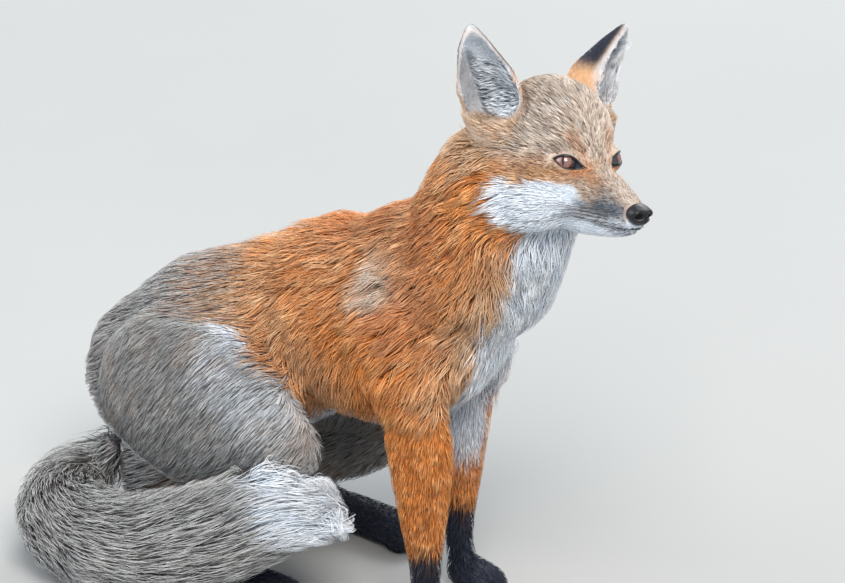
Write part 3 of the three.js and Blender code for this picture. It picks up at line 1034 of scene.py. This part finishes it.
lips = []
for side in (-1, 1):
    run = smooth_line([
        (50, 16.5, -32.7), (62.5, 13.4, -34.5), (74, 12.6, -35.8), (88.5, 12.2, -35.9),
        (98, 9, -36.6), (104, 4, -36.3), (105, 0.2, -35.8),
    ], 30)
    run[:, 1] *= side
    lips.append(rod(laid_on_skin(run, np.full(30, 0.1)), np.linspace(0.35, 0.85, 30) / 1000))
piece_of("lips", lips, wet_skin)

# ---- the claws --------------------------------------------------------------------------
# Short dark curved claws of horn, one grown out of the end of each toe and bent down to
# the floor.
def horn_paint(start):
    grain = start.place().noise(420.0, 3.0)
    colour = grain.mix(tint(40, 34, 30), tint(96, 84, 72))
    return {"Base Color": colour, "Roughness": grain * 0.3 + 0.25}


horn = material("horn", horn_paint, Coat_Weight=0.2)
claws = []
claw_radii = np.array([1.9, 1.9, 1.8, 1.65, 1.5, 1.3, 1.05, 0.75, 0.35]) / 1000
for x, y, _ in toe_rows(0.0065, 0.003):
    arch = smooth_line([
        (x - 0.006, y, 0.0105), (x, y, 0.0100), (x + 0.005, y, 0.0062), (x + 0.007, y, 0.0022),
    ], 9)
    claws.append(rod(arch, claw_radii))
piece_of("claws", claws, horn)

# ---- the lie of the coat ----------------------------------------------------------------
# Hair points back from the nose, down the neck and back along the trunk, down the legs and
# along the tail, and bends smoothly from one part to the next.
def lie_of(kind, places, normals):
    """The way that hair on one part of the body points, before it is laid flat on the skin."""
    local = in_head(places)
    side = np.sign(local[:, 1])
    still = np.zeros(len(places))
    if kind in ("head", "muzzle", "jaw"):
        cheek = ruff(local) * (local[:, 0] > -30)
        rising = 0.25 * ramp(local[:, 2], -20, 20) - 0.45 * cheek
        way = np.stack([still - 1, side * (0.12 + 0.25 * cheek), rising], 1)
        for eye_side in (-1, 1):
            across, upright, _ = from_eye(local, eye_side).T
            gap = -opening(across, upright)
            bend = (1 - ramp(gap, 3, 14)) * ramp(across, -2, 8) * np.sign(upright + across * 0.28)
            way += bend[:, None] * eye_frame(eye_side)[1] * 1.4
        by_ear = ramp(local[:, 2], 14, 26) * ramp(abs(local[:, 1]), 22, 32) * (local[:, 0] < 14)
        way += by_ear[:, None] * np.stack([still, 0.2 * side, still + 0.5], 1)
        return turned_from_head(way)
    if kind == "ear":
        _, height, out, _ = ear_sides(places, normals)
        upward = np.stack([still, 0.42 * side, still + 0.9], 1)
        across = np.stack([still - 0.62, 0.76 * side, 0.7 * ramp(height, 0.3, 0.8) - 0.15], 1)
        foot = np.stack([still - 0.8, 0.35 * side, still + 0.45], 1)
        near_rim = np.where(local[:, 1] < 0, 5, 14)
        hollow = (ear_hollow(places, normals) * (1 - ramp(out, near_rim, near_rim + 7)))[:, None]
        low = (1 - ramp(height, 0.13, 0.25))[:, None]
        return turned_from_head((upward * (1 - hollow) + across * hollow) * (1 - low) + foot * low)
    if kind == "tail":
        ends = np.gradient(tail_curve, axis=0)
        return unit(ends[(tail_share(places) * (len(tail_curve) - 1)).astype(int)])
    x, z = places[:, 0], places[:, 2]
    body_side = np.sign(places[:, 1] - middle_y)
    front, arm = ramp(x, 0.115, 0.165), 1 - ramp(z, 0.200, 0.290)
    ways = {
        "neck": ((-0.70, 0, -0.72), (0.08, 0, -1.0)),
        "chest": ((-0.80, 0, -0.60), (0.0, 0, -1.0)),
        "loins": ((-0.88, 0, -0.46),) * 2,
        "haunch": ((-0.50, 0, -0.70),) * 2,
        "shank": ((-0.80, 0, -0.60),) * 2,
        "hindfoot": ((1.0, 0, -0.12),) * 2,
        "foreleg": ((-0.08, 0, -1.0),) * 2,
        "forepaw": ((1.0, 0, -0.45),) * 2,
    }[kind]
    way = (1 - front[:, None]) * np.array(ways[0]) + front[:, None] * np.array(ways[1])
    if kind == "haunch":
        way[:, 1] += 0.45 * body_side
    if kind == "chest":
        way += arm[:, None] * (np.array([-0.25, 0, -0.97]) - way)
    return way


skin_lie = np.zeros_like(skin_places)
for kind in coats:
    chosen = is_kind[kind]
    skin_lie[chosen] = unit(lie_of(kind, skin_places[chosen], broad_normals[chosen]))
skin_lie = relaxed(skin_lie, skin_edges, 10)
skin_lie -= skin_normals * (skin_lie * skin_normals).sum(1, keepdims=True)
skin_lie = unit(skin_lie)


def drawn_to(coat, share):
    """The coat of each point of the skin, changed into this one by a share for each point."""
    return skin_coat + share[:, None] * (np.array(coat) - skin_coat)


# Each point of the skin gets the coat of its part. It lengthens to the ruff, in the hollows of
# the ears and on the forehead, and is short and fine round the eyes.
skin_coat = coat_of_node[skin_node]
skin_local = in_head(skin_places)
on_head, on_ear = is_kind["head"], is_kind["ear"]
facing_ear, ear_height, ear_out, _ = ear_sides(skin_places, broad_normals)
skin_coat = drawn_to(Coat(9, 32, 1.1, 1.75, 11, 0.6, 0.2, 0.6), ruff(skin_local) * on_head)
ear_long = on_ear * ear_hollow(skin_places, broad_normals) * (1 - ramp(ear_out, 4, 10))
ear_long = ear_long * ramp(ear_out, -25, -20) * (1 - ramp(ear_height, 0.55, 0.75))
skin_coat = drawn_to(Coat(6, 16, 0.8, 1.6, 4.5, 0.55, 0.2, 0.5), ear_long)
fringe = on_ear * (skin_local[:, 1] > 0) * ramp(ear_out, 3, 9) * ramp(ear_height, 0.08, 0.2)
fringe = fringe * ((1 - ramp(ear_height, 0.6, 0.9)) * ramp(facing_ear, -0.4, 0.1))
skin_coat = drawn_to(Coat(3, 14, 0.5, 1.1, 3, 0.4, 0.2, 0.15), fringe)
for side in (-1, 1):
    across, upright, out = from_eye(skin_local, side).T
    lid = (1 - ramp(-opening(across, upright), 1, 13)) * (out > -4)
    skin_coat = drawn_to(Coat(1.0, 4.5, 0.4, 0.8, 3, 0.2, 0, 1), lid)
forehead = on_head * ramp(skin_local[:, 2], 6, 18) * (1 - ramp(skin_local[:, 0], 34, 46))
skin_coat = skin_coat + forehead[:, None] * np.array(Coat(0, 5, 0.08, 0.1, 1.5, 0.15, 0.08, 0))
near_ear = on_head * ramp(skin_local[:, 2], 12, 24) * ramp(abs(skin_local[:, 1]), 20, 30)
near_ear = np.maximum(near_ear, on_ear * (1 - ramp(ear_height, 0.12, 0.2)))
skin_coat = drawn_to(Coat(4, 17, 0.6, 1.35, 5, 0.5, 0.1, 0.85), near_ear)

# The coat is deeper in the dip behind the shoulders than on them, so the back runs smoothly.
on_back = ramp(skin_normals[:, 2], 0.3, 0.7) * (is_kind["chest"] | is_kind["loins"])
skin_coat[:, 0] += on_back * np.interp(
    skin_places[:, 0] * 1000, [-95, -75, -52, -36, -22, 0, 22, 45], [-1, 2, 7, 5, 0, -4, -4, 0],
)
skin_coat = relaxed(skin_coat, skin_edges, 6)


sole_top = 0.0015


def bare(places):
    """True where no hair grows: between the lids, on the nose pad and on the soles."""
    local = in_head(places)
    none = places[:, 2] < sole_top
    for side in (-1, 1):
        along = from_eye(local, side)
        none |= (opening(along[:, 0], along[:, 1]) > -1.0) & (along[:, 2] > -2)
    none |= np.linalg.norm((local - nose_place) / (nose_half + 0.4), axis=1) < 1
    return none


# ---- the coat ---------------------------------------------------------------------------
# Thousands of thin pointed tufts in overlapping locks. Each leaves the skin at its root,
# follows the lie of the coat and ends at the outline of the body.
long_haired = np.isin(kinds, ("neck", "chest", "loins", "tail"))
# A long tuft is three lengths long and a short one two. The coat thins out evenly where
# it would have more than the most faces.
long_faces, short_faces, most_faces = 16, 10, 1.47e6


def sow():
    """Places on the skin for the roots: the triangle of each and its share of the corners."""
    first, second, third = skin_places[skin_triangles].transpose(1, 0, 2)
    area = np.linalg.norm(np.cross(second - first, third - first), axis=1) / 2
    apart = skin_coat[skin_triangles, 3].mean(1) / 1000
    share = area / apart ** 2
    is_long = long_haired[skin_node[skin_triangles[:, 0]]]
    faces = (share * np.where(is_long, long_faces, short_faces)).sum()
    share = np.cumsum(share * most_faces / max(faces, most_faces)) / 1
    count = int(share[-1])
    picked = np.searchsorted(share, (np.arange(count) + draw.random(count)) * share[-1] / count)
    picked = np.minimum(picked, len(area) - 1)
    first, second = draw.random((2, count))
    flip = first + second > 1
    first, second = np.where(flip, 1 - first, first), np.where(flip, 1 - second, second)
    return picked, np.stack([1 - first - second, first, second], 1)


picked, weights = sow()


def at_roots(values):
    return (values[skin_triangles[picked]] * weights[:, :, None]).sum(1)


keep = ~bare(at_roots(skin_places))
picked, weights = picked[keep], weights[keep]
roots = at_roots(skin_places)
root_normals = unit(at_roots(skin_normals))
root_lie = unit(at_roots(skin_lie))
root_coat = at_roots(skin_coat)
root_marks = at_roots(marks)
root_node = skin_node[skin_triangles[picked, 0]]

uv = np.empty(len(skin_mesh.loops) * 2)
skin_mesh.uv_layers["OFBake"].data.foreach_get("uv", uv)
loops = np.empty(len(skin_mesh.loop_triangles) * 3, int)
skin_mesh.loop_triangles.foreach_get("loops", loops)
root_uv = (uv.reshape(-1, 2)[loops.reshape(-1, 3)[picked]] * weights[:, :, None]).sum(1)


def locks():
    """The lock that each root belongs to: about one lock for every few tufts."""
    size = root_coat[:, 4] / root_coat[:, 3]
    leads = np.flatnonzero(draw.random(len(roots)) < 1.3 / size ** 2)
    tree = KDTree(len(leads))
    for index, lead in enumerate(leads):
        tree.insert(roots[lead], index)
    tree.balance()
    return leads, np.array([tree.find(root)[1] for root in roots])


leads, lock = locks()


def step_along(places, ways, reach, cling):
    """One step along the coat: onto the skin where the coat clings, and straight where not."""
    ahead = places + ways * reach[:, None]
    landed, facing, turned = np.empty_like(ahead), np.empty_like(ahead), np.empty_like(ahead)
    for index, place in enumerate(ahead):
        spot, normal, face, _ = skin_tree.find_nearest(place)
        landed[index], facing[index] = spot, normal
        turned[index] = skin_lie[skin_triangles[face, 0]]
    landed = ahead + (landed - ahead) * cling[:, None]
    return landed, facing, turned


# One tuft in three is wool: short, broad and low. The rest are thin guard hairs over it.
wool_share = 0.34
wool = draw.random(len(roots)) < wool_share
length = root_coat[:, 1] / 1000 * draw.uniform(0.78, 1.18, len(roots)) * np.where(wool, 0.65, 1)
lock_lift = draw.uniform(0.84, 1.1, len(leads))[lock]
tuft_lift = draw.uniform(0.9, 1.05, len(roots)) * np.where(wool, 0.55, 1)
depth = root_coat[:, 0] / 1000 * lock_lift * tuft_lift
broad = root_coat[:, 2] / 1000 * draw.uniform(0.75, 1.25, len(roots)) * np.where(wool, 1.4, 0.85)
stray = 0.1 * draw.standard_normal(len(roots))[:, None]
side_way = np.cross(root_normals, root_lie)
start_way = unit(root_lie + side_way * stray)
cling = np.clip(root_coat[:, 7], 0, 1)
middle, _, middle_lie = step_along(roots, start_way, length / 2, cling)
middle_way = unit(start_way + middle_lie * cling[:, None])
tip, tip_normal, _ = step_along(middle, middle_way, length / 2, cling)

lead_tip, lead_side = tip[leads][lock], side_way[leads][lock]
gather = np.clip(root_coat[:, 5], 0, 1) * draw.uniform(0.6, 1.0, len(roots))
drawn = (lead_tip - tip) * gather[:, None]
far = np.linalg.norm(drawn, axis=1)
drawn *= np.minimum(1, length * 0.45 / np.maximum(far, 1e-9))[:, None]
phase = draw.uniform(0, 2 * math.pi, len(leads))[lock]
swing = root_coat[:, 6] * length * 0.16


# How deep a tuft starts in the skin and how far its points stay off the floor, in metres,
# and the side of its patch on the bake's map, as a share of that map.
root_depth, floor_gap, patch_size = 0.0006, 0.0003, 0.003


def tuft_rings(steps):
    """The middle of each tuft at its rings, the way out of the skin there, and the width."""
    rings, ups = [], []
    for t in np.linspace(0, 1, steps + 1):
        here = roots * (1 - t) * (1 - 2 * t) + middle * 4 * t * (1 - t) + tip * t * (2 * t - 1)
        up = unit(root_normals * (1 - t) + tip_normal * t)
        rise = depth * (1.55 * t ** 0.8 - 0.55 * t ** 2.2)
        wave = np.sin(2 * math.pi * 1.15 * t + phase) - np.sin(phase)
        here = here + up * rise[:, None] + drawn * t ** 1.4 + lead_side * (swing * wave)[:, None]
        rings.append(here)
        ups.append(up)
    rings[0] = roots - root_normals * root_depth
    return np.stack(rings, 1), np.stack(ups, 1)


def tuft_points(chosen, steps):
    """The points of the chosen tufts: three round each ring and one at the tip."""
    rings, ups = (part[chosen] for part in tuft_rings(steps))
    ways = np.gradient(rings, axis=1)
    sides = unit(np.cross(ups, ways))
    tops = unit(np.cross(ways, sides))
    taper = np.array([0.75, 1.0, 0.7] if steps == 3 else [0.85, 0.8])
    width = broad[chosen][:, None, None] * taper[None, :, None]
    base, sides, tops = rings[:, :steps], sides[:, :steps], tops[:, :steps]
    corners = np.stack([
        base - sides * width / 2, base + tops * width * 0.42, base + sides * width / 2,
    ], 2)
    points = np.concatenate([corners.reshape(len(rings), -1, 3), rings[:, -1:]], 1)
    points[:, :, 2] = np.maximum(points[:, :, 2], floor_gap)
    return points


def tuft_faces(steps):
    """The triangles that close one tuft from its root to its tip, as numbers of its points."""
    faces = [(0, 1, 2)]
    for ring in range(steps - 1):
        for corner in range(3):
            a, b = ring * 3 + corner, ring * 3 + (corner + 1) % 3
            faces += [(a, a + 3, b + 3), (a, b + 3, b)]
    end = steps * 3
    faces += [(end - 3, end, end - 2), (end - 2, end, end - 1), (end - 1, end, end - 3)]
    return np.array(faces)


def fur_piece(name, chosen, steps):
    """One mesh of closed three-sided tufts from the chosen roots."""
    points = tuft_points(chosen, steps)
    count, each, _ = points.shape
    if not count:
        return
    triangles = (tuft_faces(steps)[None] + np.arange(count)[:, None, None] * each).reshape(-1, 3)
    mesh = bpy.data.meshes.new(name)
    mesh.vertices.add(count * each)
    mesh.vertices.foreach_set("co", points.ravel().astype(np.float32))
    mesh.loops.add(triangles.size)
    mesh.loops.foreach_set("vertex_index", triangles.ravel().astype(np.int32))
    mesh.polygons.add(len(triangles))
    mesh.polygons.foreach_set("loop_start", np.arange(0, triangles.size, 3, dtype=np.int32))
    mesh.polygons.foreach_set("use_smooth", np.ones(len(triangles), bool))
    mesh.update(calc_edges=True)

    along = np.append(np.repeat(np.arange(steps) / steps, 3), 1.0)
    slip = np.append(np.tile([-0.5, 0.0, 0.5], steps), 0.0)
    patch = np.stack([along - 0.5, slip], 1) * patch_size
    point_uv = (root_uv[chosen][:, None] + patch[None]).reshape(-1, 2)
    layer = mesh.uv_layers.new(name="OFBake")
    layer.data.foreach_set("uv", point_uv[triangles.ravel()].astype(np.float32).ravel())

    def spread(values):
        return np.repeat(values, each, axis=0)

    chance = draw.random(count)
    sharp = np.clip((root_marks[chosen] - 0.5) * 2.2 + 0.5 + (chance[:, None] - 0.5) * 0.9, 0, 1)
    for index, mark in enumerate(mark_names):
        crisp = mark in ("white", "black", "grey") and not name.startswith("coat_ear")
        column = root_marks[chosen, index]
        if crisp:
            column = np.where((column > 0.08) & (column < 0.92), sharp[:, index], column)
        write_numbers(mesh, mark, spread(column))
    write_numbers(mesh, "root", spread(roots[chosen]))
    write_numbers(mesh, "along", np.tile(along, count))
    write_numbers(mesh, "chance", spread(chance))
    write_numbers(mesh, "tone", spread(lock_tone[chosen] * 0.65 + draw.random(count) * 0.35))
    set_on_fox(name, mesh, fur)


lock_tone = draw.random(len(leads))[lock]
root_side = in_head(roots)[:, 1]
for index, (node, kind) in enumerate(zip(nodes, kinds)):
    mine = root_node == index
    steps = 3 if long_haired[index] else 2
    if kind in ("head", "neck", "muzzle", "chest", "loins"):
        middle_side = root_side > 0 if kind in ("head", "muzzle") else roots[:, 1] > middle_y
        fur_piece(f"coat_{node}_right", mine & ~middle_side, steps)
        fur_piece(f"coat_{node}_left", mine & middle_side, steps)
    else:
        fur_piece(f"coat_{node}", mine, steps)

# ---- the whiskers -----------------------------------------------------------------------
# Stiff dark hairs, rooted in four rows on each side of the muzzle, that sweep back over
# the cheek, and a few finer ones over each eye.
whiskers = []
for side in (-1, 1):
    for row, rise in enumerate((-22, -25, -28, -31)):
        for column in range(4):
            ahead = 92 - column * 8 - row * 1.5
            long = 38 + column * 10
            t = np.linspace(0, 1, 9)
            drop = draw.uniform(-0.02, 0.16)
            falling = rise - long * drop * t ** 1.5
            run = np.stack([ahead - long * t, 12 + long * 0.32 * t, falling], 1)
            run[:, 1] *= side
            height = 0.2 + draw.uniform(2.5, 7) * t + 1.5 * np.sin(math.pi * t)
            radii = np.linspace(0.28, 0.05, 9) / 1000
            whiskers.append(rod(laid_on_skin(run, height), radii, 4))
    for column in range(3):
        run = smooth_line([
            (38 + 3 * column, 18 + 2 * column, 22), (31, 24 + 2 * column, 29 + column),
            (18, 32 + 2 * column, 34 + column),
        ], 7)
        run[:, 1] *= side
        radii = np.linspace(0.11, 0.04, 7) / 1000
        whiskers.append(rod(laid_on_skin(run, np.linspace(0, 7, 7)), radii, 4))
piece_of("whiskers", whiskers, horn)
